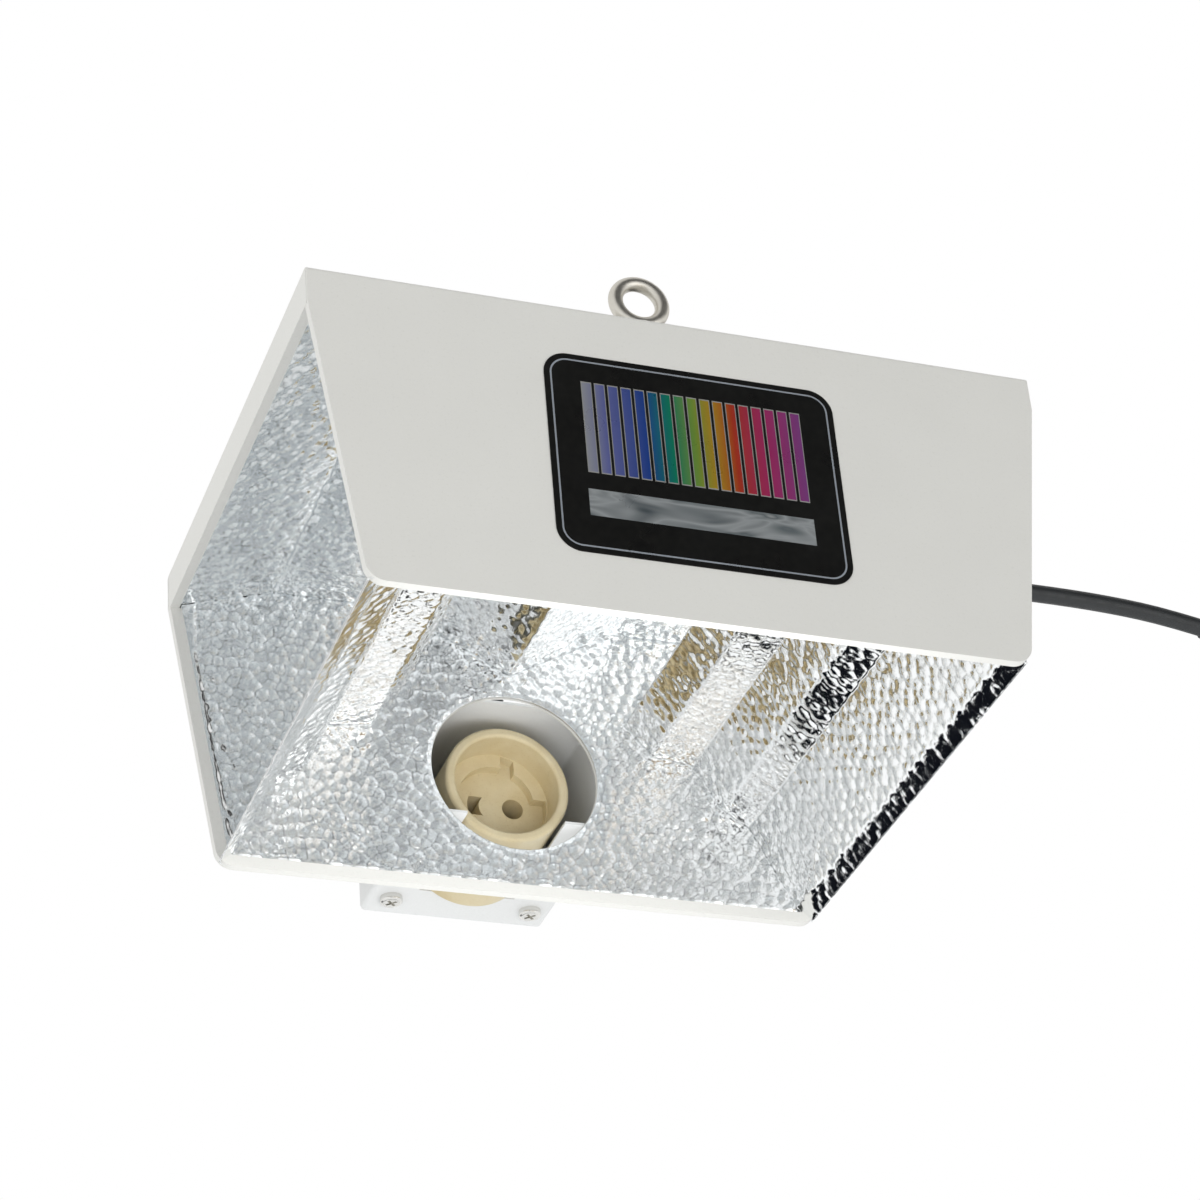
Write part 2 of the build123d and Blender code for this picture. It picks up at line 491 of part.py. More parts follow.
COIL_IN = COIL_MID_R - 1.5 * TURN_PITCH - LEAD_R - 0.2
COIL_OUT = COIL_MID_R + 1.5 * TURN_PITCH + LEAD_R + 0.3
coil_z0, coil_z1 = h(TIE_T), h(TIE_T + 2 * LEAD_R + 3 * LAYER_RISE)
coil = Pos(COIL_X, COIL_Y, (coil_z0 + coil_z1) / 2) * (Cylinder(COIL_OUT, coil_z1 - coil_z0) - Cylinder(COIL_IN, coil_z1 - coil_z0 + 2))
coil = chamfer(coil.edges().filter_by(GeomType.CIRCLE), 2.2)
rise = tube(LEAD_RISE, LEAD_R, "lead_rise") - coil
tail = tube(LEAD_TAIL, LEAD_R, "lead_tail") - coil
# the sheathed lead inside the gland
stub = rod((GLAND_X, GLAND_Y, gz - 12.0), (0, 0, 1), LEAD_R, h(-20) - (gz - 12.0))
rise = rise + stub
add("lead_rise", rise)
add("lead_coil", coil)
add("lead_tail", tail)

# three ties round the bundle of turns
ties = []
for deg in (18.0, 140.0, 262.0):
    a = math.radians(deg)
    mid = (COIL_IN + COIL_OUT) / 2
    wide = COIL_OUT - COIL_IN
    tall = coil_z1 - coil_z0
    outer = Box(wide + 2 * TIE_T, 4.6, tall + 2 * TIE_T - 0.1)
    outer = fillet(outer.edges().filter_by(Axis.Y), 3.0)
    hole = Box(wide + 0.5, 8, tall + 0.4)
    hole = chamfer(hole.edges().filter_by(Axis.Y), 1.3)
    band = outer - hole
    lock = Pos(wide / 2 + TIE_T + 1.2, 0, 2.0) * Box(3.6, 6.0, 5.0)
    band += lock - hole
    ties.append(Pos(COIL_X, COIL_Y, (coil_z0 + coil_z1) / 2) * Rot(0, 0, deg) * Pos(mid, 0, 0.02) * band)
ties = [t - rise - tail for t in ties]
add("coil_ties", Compound(children=[s for t in ties for s in t.solids()]))

# ------------------------------------------------------------ lead connector
end, before = Vector(*LEAD_TAIL[-1]), Vector(*LEAD_TAIL[-2])
cdir = (end - before).normalized()
cpl = Plane(origin=LEAD_TAIL[-1], x_dir=(0, 1, 0), z_dir=cdir)
crelief = Pos(0, 0, -8.0) * Cone(4.9, 7.4, 24.0) - Cylinder(LEAD_R + 0.1, 200)
for k in range(4):
    crelief -= Pos(0, 0, -15.0 + 4.6 * k) * (Cylinder(11, 1.5) - Cylinder(4.9, 3))
add("connector_relief", cpl * crelief)
cbody = Pos(0, 0, 22.0) * Box(27.0, 20.0, 35.8)
cbody = fillet(cbody.edges().filter_by(Axis.Z), 3.4)
cbody = fillet(cbody.faces().sort_by(Axis.Z)[0].edges(), 2.4)
cbody -= Pos(0, 0, 33.0) * Box(22.4, 15.4, 16.0)
cbody -= Pos(0, 0, 0) * Cylinder(LEAD_R + 0.1, 12.0)
for k in range(3):
    for s in (-1, 1):
        cbody -= Pos(s * 14.0, 0, 12.0 + 4.2 * k) * Box(2.0, 14.0, 1.8)
add("connector_body", cpl * cbody)
pins = []
for x, y in ((-7.0, -1.6), (7.0, -1.6), (0.0, 2.4)):
    p = Pos(x, y, 30.5) * Box(2.0, 4.0, 16.0)
    pins.append(cpl * chamfer(p.faces().sort_by(Axis.Z)[-1].edges(), 0.5))
parts["connector_body"] = parts["connector_body"] - Compound(children=pins)
add("connector_pins", Compound(children=pins))

# ------------------------------------------------------------ inner wires
gx, gy, g_end = GLAND_X, GLAND_Y, gz - 12.9


def wire_solid(points, r, label):
    return tube(points, r, label)


py = CY1 + 4.6
add("wire_live", wire_solid([(gx + 1.4, gy, g_end), (gx + 1.6, gy + 0.4, g_end - 9), (PX + 3.5, gy + 1.2, AXIS_Z + 9), (PX + 1.0, py + 1.5, AXIS_Z + 3.0), (PX, CY1 + 3.2, AXIS_Z - 0.6)], 1.1, "wire_live"))
add("wire_neutral", wire_solid([(gx - 1.2, gy + 0.8, g_end), (gx - 3.4, gy + 1.6, g_end - 8), (-2.0, gy + 4.4, AXIS_Z + 8), (-PX + 2.0, py + 2.0, AXIS_Z + 3.4), (-PX, CY1 + 3.2, AXIS_Z - 0.4)], 1.1, "wire_neutral"))
add("wire_earth", wire_solid([(gx - 1.0, gy - 1.4, g_end), (gx - 5.0, gy - 0.6, g_end - 6.5), (-12.0, gy + 1.0, AXIS_Z + 23.5), (lug_x + 6.0, EARTH_Y - 2.6, AXIS_Z + 25.0), (lug_x + 1.6, EARTH_Y - 2.0, EARTH_Z + 13.9)], 1.1, "wire_earth"))

# ------------------------------------------------------------ write
os.makedirs("parts", exist_ok=True)
for old in os.listdir("parts"):
    if old.endswith(".step"):
        os.remove(os.path.join("parts", old))
for name, shape in parts.items():
    shape.label = name
    export_step(shape, os.path.join("parts", name + ".step"))
print(len(parts), "nodes")
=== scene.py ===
import math

import bmesh
import bpy
import numpy as np
from mathutils import Matrix, Vector


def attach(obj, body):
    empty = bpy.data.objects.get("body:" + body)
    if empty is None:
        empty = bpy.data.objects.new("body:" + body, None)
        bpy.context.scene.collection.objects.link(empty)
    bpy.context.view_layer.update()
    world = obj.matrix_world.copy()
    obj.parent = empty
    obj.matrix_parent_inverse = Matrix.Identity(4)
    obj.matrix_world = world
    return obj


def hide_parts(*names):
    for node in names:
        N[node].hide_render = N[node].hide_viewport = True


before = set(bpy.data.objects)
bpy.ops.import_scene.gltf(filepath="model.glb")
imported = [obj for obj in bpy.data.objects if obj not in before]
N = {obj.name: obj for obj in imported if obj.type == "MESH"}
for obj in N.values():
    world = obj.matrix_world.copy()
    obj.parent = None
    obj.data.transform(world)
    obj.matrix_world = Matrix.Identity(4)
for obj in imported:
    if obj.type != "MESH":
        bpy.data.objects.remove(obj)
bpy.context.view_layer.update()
scene = bpy.context.scene
MM = 0.001
TOP = -37.0                      # outer face of the top plate, mm
AXIS_Z = TOP - 78.0
HX, HY, HOOD_H = 150.0, 110.0, 138.0
LOW = TOP - HOOD_H


def h(v):
    return TOP + v


# ------------------------------------------------------------------ camera
ax_x = Vector((0.94016, 0.12139, 0.31839))
ax_y = Vector((-0.33264, 0.52953, 0.78035))
ax_z = Vector((-0.07387, -0.83956, 0.53822))
# rows: the frame's axes in the camera's right, down and forward directions
right = Vector((ax_x[0], ax_y[0], ax_z[0]))
down = Vector((ax_x[1], ax_y[1], ax_z[1]))
fwd = Vector((ax_x[2], ax_y[2], ax_z[2]))
cam_pos = Vector((-299.3 - 150.0, -995.4 - 110.0, -821.0 + TOP)) * MM
cam_data = bpy.data.cameras.new("camera")
cam_data.sensor_width = 36.0
cam_data.lens = 3499.92 / 1200.0 * 36.0
cam_data.clip_end = 30.0
cam = bpy.data.objects.new("camera", cam_data)
rot = Matrix((right, -down, -fwd)).transposed()
cam.matrix_world = Matrix.Translation(cam_pos) @ rot.to_4x4()
scene.collection.objects.link(cam)
scene.camera = cam

# ------------------------------------------------------------------ node helpers


class Mat:
    """A small helper that builds a procedural Principled material in the frame's own coordinates."""

    def __init__(self, name, **sockets):
        self.m = bpy.data.materials.new(name)
        self.m.use_nodes = True
        self.t = self.m.node_tree
        self.b = self.t.nodes["Principled BSDF"]
        for k, v in sockets.items():
            self.b.inputs[k.replace("_", " ")].default_value = v
        self.co = self.t.nodes.new("ShaderNodeTexCoord").outputs["Object"]
        self.bumps = None

    def node(self, kind, **props):
        n = self.t.nodes.new(kind)
        for k, v in props.items():
            setattr(n, k, v)
        return n

    def link(self, a, b):
        self.t.links.new(a, b)

    def scaled(self, sx, sy=None, sz=None, co=None):
        mp = self.node("ShaderNodeMapping")
        mp.inputs["Scale"].default_value = (sx, sy if sy is not None else sx, sz if sz is not None else sx)
        self.link(co or self.co, mp.inputs["Vector"])
        return mp.outputs["Vector"]

    def noise(self, scale, detail=3.0, rough=0.5, vec=None, dist=0.0):
        n = self.node("ShaderNodeTexNoise")
        n.inputs["Scale"].default_value = scale
        n.inputs["Detail"].default_value = detail
        n.inputs["Roughness"].default_value = rough
        n.inputs["Distortion"].default_value = dist
        self.link(vec or self.co, n.inputs["Vector"])
        return n.outputs["Fac"]

    def ramp(self, fac, stops):
        r = self.node("ShaderNodeValToRGB")
        e = r.color_ramp.elements
        while len(e) < len(stops):
            e.new(0.5)
        for i, (p, c) in enumerate(stops):
            e[i].position = p
            e[i].color = (*c, 1.0) if len(c) == 3 else c
        self.link(fac, r.inputs["Fac"])
        return r.outputs["Color"]

    def maprange(self, fac, a, b, lo=0.3, hi=0.7):
        r = self.node("ShaderNodeMapRange")
        r.inputs["From Min"].default_value = lo
        r.inputs["From Max"].default_value = hi
        r.inputs["To Min"].default_value = a
        r.inputs["To Max"].default_value = b
        self.link(fac, r.inputs["Value"])
        return r.outputs["Result"]

    def math(self, op, a, b=None, c=None):
        n = self.node("ShaderNodeMath", operation=op)
        for i, v in enumerate((a, b, c)):
            if v is None:
                continue
            if isinstance(v, (int, float)):
                n.inputs[i].default_value = v
            else:
                self.link(v, n.inputs[i])
        return n.outputs[0]

    def mix(self, fac, a, b):
        n = self.node("ShaderNodeMix", data_type="RGBA")
        if isinstance(fac, (int, float)):
            n.inputs[0].default_value = fac
        else:
            self.link(fac, n.inputs[0])
        for i, v in ((6, a), (7, b)):
            if isinstance(v, tuple):
                n.inputs[i].default_value = (*v, 1.0) if len(v) == 3 else v
            else:
                self.link(v, n.inputs[i])
        return n.outputs[2]

    def color(self, c):
        self.link(c, self.b.inputs["Base Color"])

    def rough(self, r):
        self.link(r, self.b.inputs["Roughness"])

    def bump(self, height, strength, distance):
        n = self.node("ShaderNodeBump")
        n.inputs["Strength"].default_value = strength
        n.inputs["Distance"].default_value = distance
        self.link(height, n.inputs["Height"])
        if self.bumps is not None:
            self.link(self.bumps, n.inputs["Normal"])
        self.bumps = n.outputs["Normal"]
        self.link(self.bumps, self.b.inputs["Normal"])

    def xyz(self, co=None):
        s = self.node("ShaderNodeSeparateXYZ")
        self.link(co or self.co, s.inputs[0])
        return s.outputs


# ------------------------------------------------------------------ materials
def powder(name, base, seed):
    m = Mat(name, Metallic=0.0)
    a = m.noise(9.0 + seed, 4.0, 0.55)
    f = m.noise(900.0, 2.0, 0.6)
    c = m.ramp(a, [(0.25, tuple(x * 0.965 for x in base)), (0.75, base)])
    speck = m.ramp(f, [(0.30, (0.93, 0.93, 0.92)), (0.42, (1, 1, 1))])
    mul = m.node("ShaderNodeMix", data_type="RGBA", blend_type="MULTIPLY")
    mul.inputs[0].default_value = 0.55
    m.link(c, mul.inputs[6])
    m.link(speck, mul.inputs[7])
    m.color(mul.outputs[2])
    m.rough(m.maprange(m.noise(35.0, 3.0), 0.36, 0.50))
    m.b.inputs["Specular IOR Level"].default_value = 0.45
    m.bump(m.noise(420.0, 2.0, 0.5), 0.16, 0.0006)      # orange peel
    m.bump(m.noise(14.0, 2.0, 0.5), 0.10, 0.002)        # sheet waviness
    return m.m


white_coat = powder("white_powder_coat", (0.815, 0.812, 0.780), 0.0)
white_box = powder("white_powder_coat_box", (0.83, 0.84, 0.84), 1.3)


def hammered(name, tint, r0, r1, seed):
    m = Mat(name, Metallic=1.0)
    a = m.noise(22.0 + seed, 4.0, 0.6)
    c = m.ramp(a, [(0.2, tuple(x * 0.93 for x in tint)), (0.8, tint)])
    va = m.node("ShaderNodeAttribute")
    va.attribute_type = "GEOMETRY"
    va.attribute_name = "valley"
    valley = va.outputs["Fac"]
    # painted shade, partly grime: along the valleys between the bumps the colour darkens towards a third of the
    # tint, standing in for the shade that falls in the creases; the same mask also raises the roughness there
    valley_shade_and_grime = m.math("MULTIPLY", m.math("POWER", valley, 1.5), m.maprange(m.noise(40.0, 3.0), 0.45, 0.85))
    m.color(m.mix(valley_shade_and_grime, c, tuple(x * 0.34 for x in tint)))
    fine = m.noise(260.0, 4.0, 0.6)
    m.rough(m.math("ADD", m.maprange(fine, r0, r1), m.math("MULTIPLY", valley_shade_and_grime, 0.12)))
    m.bump(m.noise(520.0, 3.0, 0.55), 0.22, 0.0004)
    m.bump(m.noise(2400.0, 2.0, 0.6, vec=m.scaled(1.0, 0.12, 1.0)), 0.10, 0.00015)
    return m.m


alu_bright = hammered("hammered_aluminium", (0.935, 0.945, 0.950), 0.045, 0.12, 0.0)
alu_cool = hammered("hammered_aluminium_cool", (0.915, 0.940, 0.955), 0.05, 0.13, 2.0)


def plated(name, base, r0, r1, brush=(1.0, 1.0, 1.0), bump=0.08):
    m = Mat(name, Metallic=1.0)
    a = m.noise(120.0, 4.0, 0.6)
    m.color(m.ramp(a, [(0.25, tuple(x * 0.86 for x in base)), (0.7, base)]))
    g = m.noise(700.0, 4.0, 0.65, vec=m.scaled(*brush))
    m.rough(m.maprange(g, r0, r1))
    m.bump(g, bump, 0.0003)
    return m.m


zinc = plated("satin_zinc", (0.76, 0.73, 0.665), 0.34, 0.44, bump=0.02)
zinc_nut = plated("zinc_nuts", (0.64, 0.63, 0.60), 0.24, 0.42)
bright = plated("bright_screws", (0.80, 0.79, 0.76), 0.08, 0.20, bump=0.04)
brass = plated("brass_contacts", (0.80, 0.60, 0.27), 0.22, 0.38)

# ceramic
m = Mat("cream_ceramic")
c = m.ramp(m.noise(60.0, 5.0, 0.6), [(0.3, (0.66, 0.55, 0.33)), (0.7, (0.75, 0.66, 0.45))])
sp = m.ramp(m.noise(1500.0, 2.0, 0.6), [(0.28, (0.80, 0.74, 0.62)), (0.40, (1, 1, 1))])
mul = m.node("ShaderNodeMix", data_type="RGBA", blend_type="MULTIPLY")
mul.inputs[0].default_value = 0.7
m.link(c, mul.inputs[6])
m.link(sp, mul.inputs[7])
m.color(mul.outputs[2])
m.rough(m.maprange(m.noise(220.0, 3.0), 0.34, 0.52))
m.b.inputs["Subsurface Weight"].default_value = 0.08
m.b.inputs["Subsurface Radius"].default_value = (0.004, 0.003, 0.002)
m.bump(m.noise(900.0, 3.0, 0.6), 0.14, 0.0003)
ceramic = m.m


def polymer(name, base, r0, r1, fine=1400.0, strength=0.15, spec=0.5):
    m = Mat(name)
    m.color(m.ramp(m.noise(140.0, 4.0, 0.6), [(0.3, tuple(x * 0.8 for x in base)), (0.7, base)]))
    m.rough(m.maprange(m.noise(300.0, 3.0), r0, r1))
    m.b.inputs["Specular IOR Level"].default_value = spec
    m.bump(m.noise(fine, 3.0, 0.6), strength, 0.0003)
    return m.m


sheath = polymer("black_sheath", (0.030, 0.033, 0.036), 0.38, 0.56, 1100.0, 0.2)
seal_rubber = polymer("seal_rubber", (0.02, 0.02, 0.02), 0.5, 0.7)
gland_mat = polymer("gland_nylon", (0.045, 0.046, 0.050), 0.36, 0.52)
plug_mat = polymer("connector_plastic", (0.028, 0.028, 0.030), 0.42, 0.58, 900.0, 0.2)
tie_mat = polymer("tie_nylon", (0.70, 0.70, 0.66), 0.30, 0.44)
w_brown = polymer("wire_brown", (0.16, 0.06, 0.02), 0.32, 0.45)
w_blue = polymer("wire_blue", (0.03, 0.10, 0.36), 0.32, 0.45)
# green and yellow earth wire: two colours along its length
m = Mat("wire_green_yellow")
xx, yy, zz = m.xyz()
st = m.math("SINE", m.math("MULTIPLY", m.math("ADD", xx, zz), 900.0))
m.color(m.mix(m.math("GREATER_THAN", st, 0.1), (0.03, 0.26, 0.05), (0.75, 0.62, 0.03)))
m.rough(m.maprange(m.noise(300.0, 3.0), 0.32, 0.45))
m.bump(m.noise(1400.0, 3.0), 0.1, 0.0002)
w_earth = m.m

# label: black rounded plate, a silver border line, a plain row of spectrum bars
LX0, LX1, LZ0, LZ1 = -0.058, 0.061, (h(-114.0)) * MM, (h(-23.5)) * MM
LCX, LCZ = (LX0 + LX1) / 2, (LZ0 + LZ1) / 2
LHX, LHZ = (LX1 - LX0) / 2, (LZ1 - LZ0) / 2
m = Mat("label_film")
xx, yy, zz = m.xyz()
px = m.math("SUBTRACT", xx, LCX)
pz = m.math("SUBTRACT", zz, LCZ)


def rounded(m, px, pz, hx, hz, r):
    qx = m.math("SUBTRACT", m.math("ABSOLUTE", px), hx - r)
    qz = m.math("SUBTRACT", m.math("ABSOLUTE", pz), hz - r)
    ox, oz = m.math("MAXIMUM", qx, 0.0), m.math("MAXIMUM", qz, 0.0)
    d = m.math("SQRT", m.math("ADD", m.math("MULTIPLY", ox, ox), m.math("MULTIPLY", oz, oz)))
    return m.math("SUBTRACT", m.math("ADD", d, m.math("MINIMUM", m.math("MAXIMUM", qx, qz), 0.0)), r)


edge = rounded(m, px, pz, LHX, LHZ, 0.010)
line = m.math("MULTIPLY", m.math("LESS_THAN", edge, -0.0024), m.math("GREATER_THAN", edge, -0.0031))
# bars across the upper part
u = m.math("DIVIDE", m.math("ADD", px, 0.0455), 0.091)
in_u = m.math("MULTIPLY", m.math("GREATER_THAN", u, 0.0), m.math("LESS_THAN", u, 1.0))
cell = m.math("FRACT", m.math("MULTIPLY", u, 17.0))
bar = m.math("MULTIPLY", m.math("GREATER_THAN", cell, 0.16), m.math("LESS_THAN", cell, 0.84))
bar_rim = m.math("MULTIPLY", m.math("GREATER_THAN", cell, 0.10), m.math("LESS_THAN", cell, 0.90))
band = m.math("MULTIPLY", m.math("GREATER_THAN", pz, -0.0085), m.math("LESS_THAN", pz, 0.0325))
band_rim = m.math("MULTIPLY", m.math("GREATER_THAN", pz, -0.0090), m.math("LESS_THAN", pz, 0.0330))
bars = m.math("MULTIPLY", m.math("MULTIPLY", bar, band), in_u)
bars_rim = m.math("MULTIPLY", m.math("MULTIPLY", bar_rim, band_rim), in_u)
spectrum = m.ramp(u, [(0.0, (0.55, 0.57, 0.60)), (0.10, (0.22, 0.25, 0.62)), (0.28, (0.03, 0.10, 0.48)), (0.40, (0.01, 0.36, 0.20)),
                      (0.50, (0.30, 0.52, 0.08)), (0.58, (0.72, 0.44, 0.04)), (0.68, (0.72, 0.07, 0.03)), (0.82, (0.66, 0.05, 0.22)), (1.0, (0.36, 0.10, 0.42))])
strip = m.math("MULTIPLY", m.math("MULTIPLY", m.math("GREATER_THAN", pz, -0.0285), m.math("LESS_THAN", pz, -0.0165)), in_u)
silver_wave = m.ramp(m.noise(26.0, 2.0, 0.5, vec=m.scaled(1.0, 1.0, 3.0), dist=1.2), [(0.30, (0.14, 0.17, 0.19)), (0.48, (0.62, 0.66, 0.68)), (0.62, (0.24, 0.28, 0.30)), (0.78, (0.78, 0.80, 0.80))])
black = m.ramp(m.noise(300.0, 3.0), [(0.3, (0.006, 0.006, 0.006)), (0.7, (0.011, 0.011, 0.010))])
col = m.mix(line, black, (0.62, 0.68, 0.76))
col = m.mix(bars_rim, col, (0.60, 0.60, 0.58))
col = m.mix(bars, col, spectrum)
col = m.mix(strip, col, silver_wave)
m.color(col)
shiny = m.math("MAXIMUM", m.math("MAXIMUM", line, bars_rim), strip)
m.link(m.math("MULTIPLY", shiny, 0.55), m.b.inputs["Metallic"])
m.rough(m.math("ADD", m.maprange(m.noise(60.0, 3.0), 0.26, 0.34), 0.0))
m.bump(m.noise(700.0, 3.0, 0.6), 0.05, 0.0002)
m.bump(m.math("MAXIMUM", m.math("MAXIMUM", line, bars), strip), 0.35, 0.00006)
label_mat = m.m


def give(node, mat):
    o = N[node]
    o.data.materials.clear()
    o.data.materials.append(mat)


for n, mat in {
    "housing_shell": white_coat, "holder_box": white_box, "rear_cover": white_box, "label_plate": label_mat,
    "eye_bolt_front": zinc, "eye_bolt_rear": zinc, "eye_nuts_front": zinc_nut, "eye_nuts_rear": zinc_nut, "eye_washers": zinc_nut,
    "cover_screws": bright, "bracket_screws": bright, "earth_screw": bright, "box_studs": zinc_nut, "box_nuts": zinc_nut,
    "holder_bracket": zinc_nut, "bracket_nuts": zinc_nut, "holder_screws": zinc_nut, "earth_nut": zinc_nut, "earth_lug": brass,
    "ceramic_cup": ceramic, "ceramic_base": ceramic, "contact_left": brass, "contact_right": brass, "terminal_screws": brass,
    "gland_body": gland_mat, "gland_locknut": gland_mat, "gland_dome_nut": gland_mat, "gland_seal": seal_rubber, "strain_relief": sheath,
    "coil_ties": tie_mat, "connector_relief": sheath, "connector_body": plug_mat, "connector_pins": brass,
    "wire_live": w_brown, "wire_neutral": w_blue, "wire_earth": w_earth,
}.items():
    give(n, mat)


# ------------------------------------------------------------------ the lead
def rise_pt(s, up):
    return (20.0 + 0.506 * s, 187.0 - 0.8625 * s, h(up))


RISE = [rise_pt(0, -20), rise_pt(0, 20), rise_pt(29, 47), rise_pt(74, 52), rise_pt(118, 42), rise_pt(158, 31)]
COIL_X, COIL_Y, PITCH, LAYER = 75.0, -10.0, 8.2, 7.1
Z0 = 1.2 + 4.0
zs = [Z0 + LAYER * k for k in range(4)]
turns = ([(r, zs[3]) for r in (52.2, 44.0, 35.8)] + [(r, zs[2]) for r in (31.7, 39.9, 48.1, 56.3)]
         + [(r, zs[1]) for r in (52.2, 44.0, 35.8)] + [(r, zs[0]) for r in (31.7, 39.9, 48.1, 56.3)])
PER = 16
start_deg, end_deg = 30.4, 90.0
# clockwise from the entry to the exit; each turn keeps its radius, then steps over to the next one
total = (start_deg - end_deg) + 360.0 * 14
cross0, cross1 = 150.0, 215.0     # where every turn steps over, in degrees clockwise of +X after the entry
steps = int(round(total / 360.0 * PER))
coil_pts = []
for i in range(steps + 1):
    turned = total * i / steps
    ang = math.radians(start_deg - turned)
    # count of crossings passed so far, with a smooth step inside the crossing zone
    cyc = (turned - cross0) / 360.0
    whole = math.floor(cyc) if cyc >= 0 else -1
    inside = (turned - cross0) - 360.0 * whole
    k = whole + 1
    t = 0.0
    if whole >= 0 and inside < cross1 - cross0:
        x = inside / (cross1 - cross0)
        t = x * x * (3 - 2 * x)
        k = whole
    a = turns[min(max(k, 0), 13)]
    b = turns[min(max(k + 1, 0), 13)] if t > 0 else a
    r = a[0] + (b[0] - a[0]) * t
    z = a[1] + (b[1] - a[1]) * t
    wob = 0.18 * math.sin(2.3 * ang + 1.7 * k)
    r = (r + wob) / 0.98090
    coil_pts.append((COIL_X + r * math.cos(ang), COIL_Y + r * math.sin(ang), h(z)))
TAIL_Y = COIL_Y + 56.3
TAIL = [(110.0, TAIL_Y + 0.3, h(Z0)), (148.0, TAIL_Y + 0.4, h(Z0 + 0.2)), (212.0, TAIL_Y - 0.2, h(7.0)),
        (262.0, TAIL_Y - 0.8, h(6.4)), (300.0, TAIL_Y - 1.4, h(2.2)), (331.0, TAIL_Y - 1.8, h(-5.2))]
route = RISE + coil_pts + TAIL


def nurbs(name, pts_mm, radius):
    cu = bpy.data.curves.new(name, "CURVE")
    cu.dimensions = "3D"
    sp = cu.splines.new("NURBS")
    sp.points.add(len(pts_mm) - 1)
    for p, q in zip(sp.points, pts_mm):
        p.co = (q[0] * MM, q[1] * MM, q[2] * MM, 1.0)
    sp.order_u = 3
    sp.use_endpoint_u = True
    cu.resolution_u = 5
    cu.bevel_depth = radius
    cu.bevel_resolution = 5
    cu.use_fill_caps = True
    o = bpy.data.objects.new(name, cu)
    scene.collection.objects.link(o)
    return o


lead = nurbs("supply_lead", route, 0.004)
lead.data.materials.append(sheath)
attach(lead, "hood")
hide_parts("lead_rise", "lead_coil", "lead_tail")


# ------------------------------------------------------------------ hammered sheet
def pebbles(u, v, seed, pitch=5.3, amp=0.5):
    """Height, in mm, of a close-packed field of rounded bumps over sheet coordinates u, v in mm."""
    rng = np.random.default_rng(seed)
    row = pitch * 0.866
    nu = int((u.max() - u.min()) / pitch) + 8
    nv = int((v.max() - v.min()) / row) + 8
    iu, iv = np.meshgrid(np.arange(nu), np.arange(nv), indexing="ij")
    cu = (iu + 0.5 * (iv % 2)) * pitch + u.min() - 3 * pitch + rng.uniform(-0.30, 0.30, iu.shape) * pitch
    cv = iv * row + v.min() - 3 * row + rng.uniform(-0.30, 0.30, iu.shape) * pitch
    hgt = amp * (1 + rng.uniform(-0.42, 0.42, iu.shape))
    rad = pitch * (0.62 + rng.uniform(-0.09, 0.12, iu.shape))
    j = np.floor((v - v.min()) / row + 3).astype(int)
    best = np.full(u.shape, -1e9)
    k = 26.0
    cand = []
    for dj in range(-2, 4):
        jj = np.clip(j + dj, 0, nv - 1)
        i = np.floor((u - u.min()) / pitch + 3 - 0.5 * (jj % 2)).astype(int)
        for di in range(-1, 3):
            ii = np.clip(i + di, 0, nu - 1)
            d2 = (u - cu[ii, jj]) ** 2 + (v - cv[ii, jj]) ** 2
            cand.append(hgt[ii, jj] * (1 - d2 / rad[ii, jj] ** 2))
    cand = np.array(cand)
    top = cand.max(0)
    acc = top + np.log(np.exp(k * (cand - top)).sum(0)) / k
    second = np.sort(cand, 0)[-2]
    # valley: near 1 where two bumps meet; the hammered material uses it to paint shade (with some grime) into
    # the creases
    valley = np.clip(1.0 - (top - second) / 0.15, 0.0, 1.0)
    return np.maximum(acc, -0.35), valley


